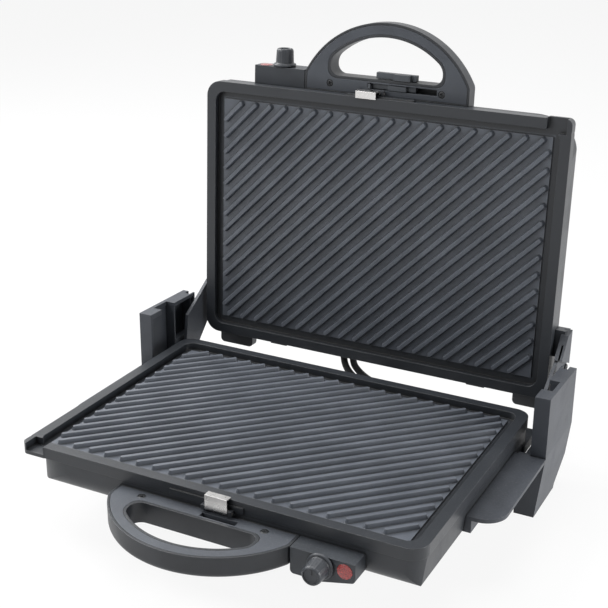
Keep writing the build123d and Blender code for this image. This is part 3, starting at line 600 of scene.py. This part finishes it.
BOX = Finish("box_plastic", (0.027, 0.031, 0.037), (0.034, 0.039, 0.047), roughness=0.43,
             specular=0.4, grain_scale=1700.0, grain_depth=0.00005)
KNOB = Finish("knob_plastic", (0.030, 0.034, 0.040), (0.039, 0.043, 0.051), roughness=0.36,
              specular=0.4, grain_scale=2400.0, grain_depth=0.00002, edge_radius=0.0004)
LATCH = Finish("latch_plastic", (0.060, 0.066, 0.076), (0.075, 0.083, 0.095), roughness=0.42,
               grain_scale=2200.0, grain_depth=0.00003, edge_radius=0.0004)
RUBBER = Finish("grommet_rubber", (0.010, 0.010, 0.011), (0.015, 0.015, 0.016), roughness=0.75,
                specular=0.2, grain_scale=1100.0, grain_depth=0.00006, edge_wear_and_highlight=0.1)
CERAMIC = Finish("terminal_ceramic", (0.62, 0.58, 0.50), (0.72, 0.69, 0.62),
                 worn_and_highlit=(0.5, 0.46, 0.4), roughness=0.6, grain_scale=1600.0)
CLIP = DrawnMetal("clip_steel", (0.62, 0.61, 0.60), (0.74, 0.73, 0.72), worn_and_highlit=(0.8, 0.79, 0.78),
                  roughness=0.24, edge_radius=0.0003, grain_depth=0.00002, dust=0.0)
STEEL = DrawnMetal("element_steel", (0.24, 0.23, 0.22), (0.33, 0.32, 0.31), roughness=0.42,
                   edge_radius=0.0003, grain_depth=0.00003)
ALUMINIUM = DrawnMetal("reflector_aluminium", (0.72, 0.73, 0.74), (0.80, 0.81, 0.82),
                       worn_and_highlit=(0.88, 0.88, 0.88), roughness=0.3, edge_radius=0.0003,
                       grain_depth=0.00002, dust=0.0)
SCREW = DrawnMetal("screw_steel", (0.035, 0.036, 0.038), (0.05, 0.052, 0.055),
                   worn_and_highlit=(0.3, 0.3, 0.3), metallic=0.6, roughness=0.38, edge_radius=0.0002,
                   grain_depth=0.00001)
LENS = LampLens("lamp_lens", (0.17, 0.010, 0.011), (0.34, 0.030, 0.028), roughness=0.2,
                specular=0.5, coat=0.6, grain_depth=0.0002, edge_radius=0.0003)
SLEEVE = BraidedSleeve("lead_sleeve", (0.011, 0.012, 0.013), (0.024, 0.026, 0.029),
                       roughness=0.6, grain_depth=0.00025)

NODE_FINISHES: dict[str, Finish] = {
    "plate": CAST, "shell": SHELL, "element": STEEL, "reflector": ALUMINIUM,
    "reflector_screws": SCREW, "terminal_block": CERAMIC, "handle_body": HANDLE,
    "handle_cover": COVER, "handle_screws": SCREW, "control_box": BOX, "thermostat": STEEL,
    "knob": KNOB, "pilot_lamp": LENS, "plate_clip": CLIP, "clip_pin": STEEL,
    "grommet": RUBBER, "column": STAND, "shelf": STAND, "slider": STAND, "hinge_pin": STEEL,
    "arm": STAND, "arm_screws": SCREW, "lead": SLEEVE, "front_feet": STAND,
    "foot_pads": RUBBER, "inlet_bush": RUBBER, "latch_hook": LATCH,
}


PREFIXES = [half.name for half in HALVES] + [side.name.lower() for side in Side]


def finish_of(node: str) -> Finish:
    """Return the finish of a CAD node, by its name without its half or side."""
    prefix, _, rest = node.partition("_")
    return NODE_FINISHES[rest if prefix in PREFIXES else node]


def dress(piece: Piece, material: Material) -> None:
    """Give a piece one material in its object slot.

    Args:
        piece: The piece to finish.
        material: Its material.
    """
    if not piece.material_slots:
        piece.data.materials.append(material)
    for socket in piece.material_slots:
        socket.link = "OBJECT"
        socket.material = material


def mesh_piece(name: str, points: Sequence[Vector], faces: Iterable[Sequence[int]],
               smooth: float = 35.0) -> Piece:
    """Make a mesh object in the row frame.

    Args:
        name: The piece's name.
        points: Its corners, in metres.
        faces: Its faces, as indices of the corners.
        smooth: Faces that meet at less than this many degrees are shaded smooth.

    Returns:
        The new object, linked to the scene.
    """
    mesh = bpy.data.meshes.new(name)
    mesh.from_pydata([tuple(point) for point in points], [], [tuple(face) for face in faces])
    mesh.validate()
    builder = bmesh.new()
    builder.from_mesh(mesh)
    bmesh.ops.remove_doubles(builder, verts=builder.verts, dist=1e-7)
    bmesh.ops.recalc_face_normals(builder, faces=builder.faces)
    builder.to_mesh(mesh)
    builder.free()
    mesh.shade_smooth()
    mesh.set_sharp_from_angle(angle=math.radians(smooth))
    piece = bpy.data.objects.new(name, mesh)
    bpy.context.scene.collection.objects.link(piece)
    return piece


@dataclass(frozen=True)
class Turning:
    """A turned piece: a profile of (radius, height) in millimetres, round an axis."""

    middle: Vector
    axis: Vector
    start: Vector
    segments: int = 64

    def point(self, radius: float, height: float, turn: float) -> Vector:
        """Find a point of the turned piece.

        Args:
            radius: Distance from the axis, in millimetres.
            height: Distance along the axis, in millimetres.
            turn: Angle from the start, in radians.

        Returns:
            The point, in metres.
        """
        side = self.axis.cross(self.start)
        out = self.start * math.cos(turn) + side * math.sin(turn)
        return self.middle + (out * radius + self.axis * height) * MM

    def rings(self, profile: Sequence[tuple[float, float]], flutes: int = 0, depth: float = 0.0,
              fluted: range = range(0)) -> tuple[list[Vector], list[list[int]]]:
        """Turn a profile into points and faces.

        Args:
            profile: Radius and height of each ring, in millimetres.
            flutes: Number of shallow grooves round the fluted rings.
            depth: Depth of the grooves, in millimetres.
            fluted: The rings that carry grooves.

        Returns:
            The points, in metres, and the faces.
        """
        points: list[Vector] = []
        faces: list[list[int]] = []
        count = self.segments
        for ring, (radius, height) in enumerate(profile):
            for step in range(count):
                turn = math.tau * step / count
                cut = depth * (0.5 + 0.5 * math.cos(flutes * turn)) if ring in fluted else 0.0
                points.append(self.point(max(radius - cut, 0.0), height, turn))
        for ring in range(len(profile) - 1):
            for step in range(count):
                after = (step + 1) % count
                low, high = ring * count, (ring + 1) * count
                faces.append([low + step, low + after, high + after, high + step])
        return points, faces


@dataclass
class CadDress:
    """Puts a finish on every CAD node that stays in view."""

    finishes: Finishes

    def build(self) -> None:
        """Give each CAD node its material."""
        for name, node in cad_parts.items():
            dress(node, self.finishes.of(finish_of(name)))
            log.info("CAD node %s: %s", name, finish_of(name).name)


@dataclass
class Knob:
    """Thermostat knob: skirt, grip with fine ribs, pointer bar and a dished end."""

    half: Half
    finishes: Finishes
    x: float = 97.0
    front: float = -130.5
    w: float = -19.5
    skirt: float = 9.75
    grip: float = 7.75
    tip: float = 7.25
    length: float = 15.0
    dish: float = 5.4
    bore: float = 3.05
    skirt_height: float = 2.5
    flutes: int = 24
    flute_depth: float = 0.22
    bar_half_width: float = 0.55
    bar_foot: float = 1.35
    bar_top: float = 0.75

    def build(self) -> Piece:
        """Build the knob and put it on its body.

        Returns:
            The new piece.
        """
        turning = Turning(self.half.place(self.x, self.front, self.w),
                          self.half.direction(0, -1, 0), self.half.direction(0, 0, 1), 96)
        end = self.length
        grip_rings = range(8, 11)
        profile = [(self.bore, 0.0), (self.skirt - 0.5, 0.0), (self.skirt, 0.5),
                   (self.skirt, 1.5), (self.skirt - 0.3, 2.1),
                   (self.skirt - 1.0, self.skirt_height), (self.grip + 0.35, self.skirt_height),
                   (self.grip, 2.9), (self.grip - 0.02, 3.6), (self.tip + 0.06, end - 2.4),
                   (self.tip - 0.1, end - 1.5), (self.tip - 0.5, end - 0.7),
                   (self.tip - 1.1, end - 0.1), (self.dish + 0.2, end), (self.dish, end - 0.25),
                   (self.dish - 0.3, end - 1.0), (self.dish - 1.5, end - 1.25), (0.0, end - 1.3)]
        points, faces = turning.rings(profile, self.flutes, self.flute_depth, grip_rings)
        first = len(points)
        inner, outer = self.dish * 0.2, self.dish - 0.7
        bar = [(-self.bar_half_width, inner), (self.bar_half_width, inner),
               (self.bar_half_width, outer), (-self.bar_half_width, outer)]
        side = turning.axis.cross(turning.start)
        for height in (end - self.bar_foot, end - self.bar_top):
            for across, out in bar:
                offset = side * across + turning.start * out + turning.axis * height
                points.append(turning.middle + offset * MM)
        faces += [[first + 4, first + 5, first + 6, first + 7]]
        faces += [[first + i, first + (i + 1) % 4, first + 4 + (i + 1) % 4, first + 4 + i]
                  for i in range(4)]
        node = f"{self.half.name}_knob"
        piece = mesh_piece(f"{self.half.name}_knob_detail", points, faces)
        dress(piece, self.finishes.of(KNOB))
        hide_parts(node)
        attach(piece, node)
        return piece


@dataclass
class PilotLamp:
    """Pilot lens: stem, rim and a dome with raised rings."""

    half: Half
    finishes: Finishes
    x: float = 114.4
    face: float = -130.2
    w: float = -19.0
    radius: float = 5.6
    dome: float = 0.8
    stem: float = 4.6
    stem_length: float = 8.0
    rim_height: float = 0.32
    ring_rise: float = 0.05
    steps: int = 12
    facets: int = 18
    facet_depth: float = 0.1

    def build(self) -> Piece:
        """Build the lens and put it on its body.

        Returns:
            The new piece.
        """
        turning = Turning(self.half.place(self.x, self.face, self.w),
                          self.half.direction(0, -1, 0), self.half.direction(0, 0, 1), 72)
        profile = [(0.0, -self.stem_length), (self.stem - 0.4, -self.stem_length),
                   (self.stem, -self.stem_length + 0.4), (self.stem, 0.0), (self.radius, 0.0),
                   (self.radius, 0.2), (self.radius - 0.15, self.rim_height)]
        dome_rise = self.dome - self.rim_height - self.ring_rise
        for step in range(1, self.steps + 1):
            share = step / self.steps
            radius = (self.radius - 0.3) * (1 - share)
            rise = self.rim_height + dome_rise * (1 - (1 - share) ** 2)
            profile.append((radius, rise + (self.ring_rise if step % 3 == 1 else 0.0)))
        outer_rings = range(7, 10)
        points, faces = turning.rings(profile, self.facets, self.facet_depth, outer_rings)
        node = f"{self.half.name}_pilot_lamp"
        piece = mesh_piece(f"{node}_lens", points, faces, smooth=12.0)
        dress(piece, self.finishes.of(LENS))
        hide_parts(node)
        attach(piece, self.half.body)
        return piece


@dataclass(frozen=True)
class ScrewSpot:
    """Where a screw's head sits: the middle of its bearing face, its axis and a side."""

    middle: Vector
    axis: Vector
    start: Vector


@dataclass
class CrossScrews:
    """Screws with domed heads and cross recesses."""

    name: str
    node: str
    body: str
    finishes: Finishes
    spots: list[ScrewSpot]
    head: float = 3.0
    rise: float = 1.2
    shank: float = 1.6
    depth: float = 11.2
    cross_reach: float = 0.58
    cross_width: float = 0.15

    def build(self) -> Piece:
        """Build every screw of the node as one piece.

        Returns:
            The new piece.
        """
        points: list[Vector] = []
        faces: list[list[int]] = []
        for spot in self.spots:
            turning = Turning(spot.middle, spot.axis, spot.start, 48)
            self._head(turning, points, faces)
        piece = mesh_piece(self.name, points, faces, smooth=25.0)
        dress(piece, self.finishes.of(SCREW))
        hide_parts(self.node)
        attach(piece, self.body)
        return piece

    def _head(self, turning: Turning, points: list[Vector], faces: list[list[int]]) -> None:
        """Add one screw: shank, rim, domed top and a cross cut into it.

        Args:
            turning: The screw's place and axis.
            points: The list that takes its points.
            faces: The list that takes its faces.
        """
        wide = self.head * self.cross_reach
        narrow = self.head * self.cross_width
        profile = [(0.0, self.rise - self.depth), (self.shank * 0.6, self.rise - self.depth),
                   (self.shank, self.rise - self.depth + 1.0), (self.shank, 0.0),
                   (self.head - 0.1, 0.0), (self.head, 0.12), (self.head, self.rise * 0.45),
                   (self.head * 0.93, self.rise * 0.72), (self.head * 0.78, self.rise * 0.93)]
        ring_points, ring_faces = turning.rings(profile)
        base = len(points)
        points += ring_points
        faces += [[base + index for index in face] for face in ring_faces]
        count = turning.segments
        outer = base + (len(profile) - 1) * count
        mouth, floor = len(points), len(points) + count
        for scale, height in ((1.0, self.rise), (0.6, self.rise * 0.35)):
            for step in range(count):
                turn = math.tau * step / count
                reach = self._cross(turn, narrow, wide)
                points.append(turning.point(reach * scale, height, turn))
        centre = len(points)
        points.append(turning.point(0.0, self.rise * 0.3, 0.0))
        for step in range(count):
            after = (step + 1) % count
            faces.append([outer + step, outer + after, mouth + after, mouth + step])
            faces.append([mouth + step, mouth + after, floor + after, floor + step])
            faces.append([floor + step, floor + after, centre])

    @staticmethod
    def _cross(turn: float, narrow: float, wide: float) -> float:
        """Measure from the middle of a cross to its outline.

        Args:
            turn: Angle round the screw, in radians.
            narrow: Half the width of an arm.
            wide: Length of an arm.

        Returns:
            The distance, in the unit of the arms.
        """
        across, along = abs(math.cos(turn)), abs(math.sin(turn))
        longer, shorter = max(across, along), min(across, along)
        to_end = wide / longer
        to_flank = narrow / shorter if shorter > 1e-6 else to_end
        return min(to_end, max(to_flank, narrow / longer))


@dataclass
class Lead:
    """One braided lead between the halves, in two lengths that meet between the bodies."""

    side: Side
    finishes: Finishes
    radius: float = 3.0
    spacing: float = 9.0
    x: float = 23.0
    exit_y: float = 116.2
    exit_run: float = 10.0
    lid_run: float = 8.0
    w: float = -14.0
    around: int = 28
    braid_per_metre: float = 100.0
    between: tuple[Point, ...] = ((13, 140, -18.5), (-3, 153, -22.5), (-16, 160.5, -20))

    def route(self) -> list[Vector]:
        """List the points that steer the lead.

        Returns:
            The points, from the lower half to the lid, in metres.
        """
        apart = self.side.value * self.spacing / 2
        askew = apart / math.sqrt(2)
        points = [LOWER.place(self.x + apart, self.exit_y, self.w),
                  LOWER.place(self.x + apart, self.exit_y + self.exit_run, self.w)]
        points += [LOWER.place(x + askew, y + askew, z) for x, y, z in self.between]
        points += [LID.place(self.x - apart, self.exit_y + self.lid_run, self.w),
                   LID.place(self.x - apart, self.exit_y, self.w)]
        return points

    def centreline(self) -> list[Vector]:
        """Read the points of the smooth spline that the route steers.

        Returns:
            The points, in metres.
        """
        curve = bpy.data.curves.new("route", "CURVE")
        curve.dimensions = "3D"
        spline = curve.splines.new("NURBS")
        route = self.route()
        spline.points.add(len(route) - 1)
        for knot, point in zip(spline.points, route):
            knot.co = (*point, 1.0)
        spline.order_u = 3
        spline.use_endpoint_u = True
        spline.resolution_u = 16
        guide = bpy.data.objects.new("route", curve)
        bpy.context.scene.collection.objects.link(guide)
        bpy.context.view_layer.update()
        mesh = bpy.data.meshes.new_from_object(guide)
        line = [vertex.co.copy() for vertex in mesh.vertices]
        bpy.data.objects.remove(guide)
        bpy.data.meshes.remove(mesh)
        return line

    @staticmethod
    def run(line: Sequence[Vector]) -> float:
        """Length along a line of points, in metres."""
        return sum((after - before).length for before, after in zip(line, line[1:]))

    def tube(self, name: str, line: list[Vector]) -> Piece:
        """Sweep the sleeve along a line, with a UV map for its braid.

        Args:
            name: The piece's name.
            line: The points that it follows, in metres.

        Returns:
            The new object.
        """
        around = self.around
        points: list[Vector] = []
        faces: list[list[int]] = []
        upright = Vector((1, 0, 0))
        runs = [0.0]
        for index, point in enumerate(line):
            before = line[max(index - 1, 0)]
            after = line[min(index + 1, len(line) - 1)]
            along = (after - before).normalized()
            upright = (upright - along * upright.dot(along)).normalized()
            across = along.cross(upright)
            if index:
                runs.append(runs[-1] + (point - before).length)
            for step in range(around):
                turn = math.tau * step / around
                spread = upright * math.cos(turn) + across * math.sin(turn)
                points.append(point + spread * self.radius * MM)
        for ring in range(len(line) - 1):
            for step in range(around):
                after_step = (step + 1) % around
                low, high = ring * around, (ring + 1) * around
                faces.append([low + step, low + after_step, high + after_step, high + step])
        faces.append(list(range(around))[::-1])
        last = (len(line) - 1) * around
        faces.append([last + step for step in range(around)])
        piece = mesh_piece(name, points, faces, smooth=60.0)
        layer = piece.data.uv_layers.new(name="sleeve")
        for face in piece.data.polygons:
            steps = [piece.data.loops[loop].vertex_index % around for loop in face.loop_indices]
            wraps = max(steps) - min(steps) > around // 2
            for loop, step in zip(face.loop_indices, steps):
                ring = piece.data.loops[loop].vertex_index // around
                turn = (around if wraps and step == 0 else step) / around
                layer.data[loop].uv = (turn, runs[ring] * self.braid_per_metre)
        dress(piece, self.finishes.of(SLEEVE))
        return piece

    def build(self) -> list[Piece]:
        """Build both lengths.

        Returns:
            The two new pieces.
        """
        word = self.side.name.lower()
        line = self.centreline()
        half_run = self.run(line) / 2
        middle = min(range(len(line)),
                     key=lambda index: abs(self.run(line[:index + 1]) - half_run))
        low_part, high_part = line[:middle + 1], line[middle:][::-1]
        pieces = []
        for label, part in (("lower", low_part), ("upper", high_part)):
            piece = self.tube(f"{word}_lead_{label}", part)
            pieces.append(piece)
        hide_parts(f"{word}_lead")
        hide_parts(f"{word}_lead")
        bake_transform(pieces[0])
        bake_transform(pieces[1])
        return pieces


@dataclass
class Studio:
    """Pale floor, pale surroundings and soft lamps."""

    floor_size: float = 6.0
    ambient: float = 0.14
    shadow_share: float = 0.1
    sky_colour: Colour = (0.95, 0.98, 1.0)
    floor_colour: Colour = (0.9, 0.9, 0.9)

    def build(self) -> None:
        """Build the floor, the world and the lamps."""
        self._world()
        self._floor()
        self._lamp("key", (1.8, 0.3, 0.4), target=(0.0, 0.0, 0.15), size=0.9, power=26.0)
        self._lamp("top", (-0.2, 0.3, 2.1), target=(0.0, 0.0, 0.1), size=1.4, power=30.0)
        self._lamp("left", (-1.1, 0.2, 1.0), target=(0.0, 0.0, 0.1), size=0.8, power=20.0)
        self._lamp("fill", (-1.1, -1.2, 1.3), target=(0.0, 0.0, 0.15), size=1.0, power=15.0)

    def _seen_white(self, board: NodeBoard) -> Socket:
        """Tell the rays that show the background.

        Args:
            board: The board of the floor or the world.

        Returns:
            1 for camera, glossy and transmission rays, and 0 for others.
        """
        path = board.add("ShaderNodeLightPath")
        seen = board.math("MAXIMUM", path.outputs["Is Camera Ray"], path.outputs["Is Glossy Ray"])
        return board.math("MAXIMUM", seen, path.outputs["Is Transmission Ray"])

    def _world(self) -> None:
        """Light the scene softly, and show plain white behind the object."""
        world = bpy.data.worlds.new("surroundings")
        bpy.context.scene.world = world
        world.use_nodes = True
        world.node_tree.nodes.clear()
        board = NodeBoard(world.node_tree)
        soft = board.add("ShaderNodeBackground", {"Color": (*self.sky_colour, 1),
                                                  "Strength": self.ambient})
        white = board.add("ShaderNodeBackground", {"Color": (1, 1, 1, 1), "Strength": 1.0})
        mixed = board.add("ShaderNodeMixShader", {0: self._seen_white(board),
                                                  1: soft.outputs[0], 2: white.outputs[0]})
        board.add("ShaderNodeOutputWorld", {"Surface": mixed.outputs[0]})

    def _floor(self) -> None:
        """Build the floor, which keeps a faint shadow."""
        size = self.floor_size
        corners = [Vector((-size, -size, 0)), Vector((size, -size, 0)), Vector((size, size, 0)),
                   Vector((-size, size, 0))]
        floor = mesh_piece("floor", corners, [[0, 1, 2, 3]])
        material = bpy.data.materials.new("pale_floor")
        material.use_nodes = True
        material.node_tree.nodes.clear()
        board = NodeBoard(material.node_tree)
        matt = board.add("ShaderNodeBsdfDiffuse", {"Color": (*self.floor_colour, 1)})
        white = board.add("ShaderNodeEmission", {"Color": (1, 1, 1, 1), "Strength": 1.0})
        share = board.math("MULTIPLY", self._seen_white(board), 1.0 - self.shadow_share)
        mixed = board.add("ShaderNodeMixShader", {0: share, 1: matt.outputs[0],
                                                  2: white.outputs[0]})
        board.add("ShaderNodeOutputMaterial", {"Surface": mixed.outputs[0]})
        dress(floor, material)

    @staticmethod
    def _lamp(name: str, spot: Point, target: Point, size: float, power: float) -> None:
        """Add a square soft lamp that looks at a target.

        Args:
            name: The lamp's name.
            spot: Where it stands, in metres.
            target: Where it looks, in metres.
            size: Its side, in metres.
            power: Its power, in watts.
        """
        data = bpy.data.lights.new(name, "AREA")
        data.shape = "SQUARE"
        data.size = size
        data.energy = power
        lamp = bpy.data.objects.new(name, data)
        bpy.context.scene.collection.objects.link(lamp)
        lamp.location = spot
        lamp.rotation_mode = "QUATERNION"
        lamp.rotation_quaternion = (Vector(target) - Vector(spot)).to_track_quat("-Z", "Y")


@dataclass(frozen=True)
class PhotoCamera:
    """The photograph's camera: place in metres, directions, and lens in millimetres."""

    spot: Point = (0.4029, -0.76387, 0.5061)
    right: Point = (0.88845, 0.45891, 0.00791)
    up: Point = (-0.17332, 0.31948, 0.93161)
    forward: Point = (-0.42500, 0.82906, -0.36338)
    lens: float = 73.18
    sensor: float = 36.0

    def build(self) -> Piece:
        """Make the camera and set it as the scene's.

        Returns:
            The camera.
        """
        data = bpy.data.cameras.new("camera")
        data.lens = self.lens
        data.sensor_width = self.sensor
        camera = bpy.data.objects.new("camera", data)
        bpy.context.scene.collection.objects.link(camera)
        columns = (Vector(self.right), Vector(self.up), -Vector(self.forward))
        turn = Matrix(columns).transposed().to_4x4()
        camera.matrix_world = Matrix.Translation(Vector(self.spot)) @ turn
        bpy.context.scene.camera = camera
        return camera


@dataclass
class Grill:
    """The whole grill: CAD nodes in their finishes, and the pieces built here."""

    finishes: Finishes
    cover_screw: Point = (50.0, -121.5, -13.2)
    cross_slant: float = 0.4
    arm_screw_x: float = 169.5
    arm_screw_spots: tuple[Point, ...] = ((177.8, 42.0, 0.3), (175.0, 18.0, 1.0))

    def build(self) -> None:
        """Build every sub-assembly in order."""
        CadDress(self.finishes).build()
        for half in HALVES:
            for maker in (Knob(half, self.finishes), PilotLamp(half, self.finishes),
                          self.cover_screws(half)):
                log.info("piece %s", maker.build().name)
        for side in Side:
            log.info("piece %s", self.arm_screws(side).build().name)
            for piece in Lead(side, self.finishes).build():
                log.info("piece %s", piece.name)

    def cover_screws(self, half: Half) -> CrossScrews:
        """Place the two screws of a handle cover.

        Args:
            half: The half that holds the handle.

        Returns:
            The screws, not built yet.
        """
        x, y, w = self.cover_screw
        spots = [ScrewSpot(half.place(side.value * x, y, w), half.direction(0, 0, 1),
                           half.direction(1, side.value * self.cross_slant, 0).normalized())
                 for side in Side]
        node = f"{half.name}_handle_screws"
        return CrossScrews(f"{node}_detail", node, half.body, self.finishes, spots)

    def arm_screws(self, side: Side) -> CrossScrews:
        """Place the two screws that hold an arm to the lid.

        Args:
            side: The side of the arm.

        Returns:
            The screws, not built yet.
        """
        outward = Vector((side.value, 0, 0))
        spots = [ScrewSpot(LOWER.place(side.value * self.arm_screw_x, y, z), outward,
                           Vector((0, math.cos(turn), math.sin(turn))))
                 for y, z, turn in self.arm_screw_spots]
        node = f"{side.name.lower()}_arm_screws"
        return CrossScrews(f"{node}_detail", node, "lid", self.finishes, spots, head=3.0,
                           rise=1.6, shank=1.5, depth=1.7)


def main() -> None:
    """Build the camera, the leads and everything else."""
    logging.basicConfig(level=logging.INFO, format="%(name)s: %(message)s")
    bpy.context.scene.view_settings.view_transform = "Standard"
    PhotoCamera().build()
    Grill(Finishes(SharedEffects())).build()
    Studio().build()


if __name__ == "__main__":
    main()
